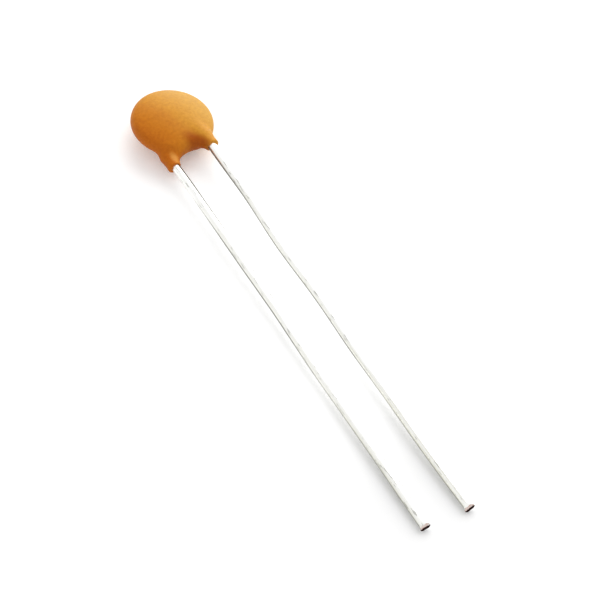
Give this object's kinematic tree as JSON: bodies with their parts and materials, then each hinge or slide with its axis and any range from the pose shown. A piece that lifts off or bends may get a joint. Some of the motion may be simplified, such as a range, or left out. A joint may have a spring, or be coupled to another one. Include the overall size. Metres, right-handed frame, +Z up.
{
  "type": "ceramic capacitor",
  "caption": "Round resin-dipped ceramic disc capacitor, with tapered resin legs on straight tinned wire leads, lying on its face.",
  "frame": {"origin": "middle of the whole part's footprint, on the surface that it lies on", "axes": "-Y along the leads from the round body to their cut ends, +X to the right seen from above with the leads pointing down the page, +Z up from the surface"},
  "size_m": [0.005, 0.0346, 0.0023],
  "materials": {
    "resin": "satin",
    "tinned_wire": "bright",
    "ceramic": "matt",
    "silver": "matt",
    "solder": "bright"
  },
  "bodies": {
    "root": {"coating": "resin", "left_lead": "tinned_wire", "right_lead": "tinned_wire", "ceramic_disc": "ceramic", "front_electrode": "silver", "back_electrode": "silver", "front_solder": "solder", "back_solder": "solder"}
  },
  "joints": []
}
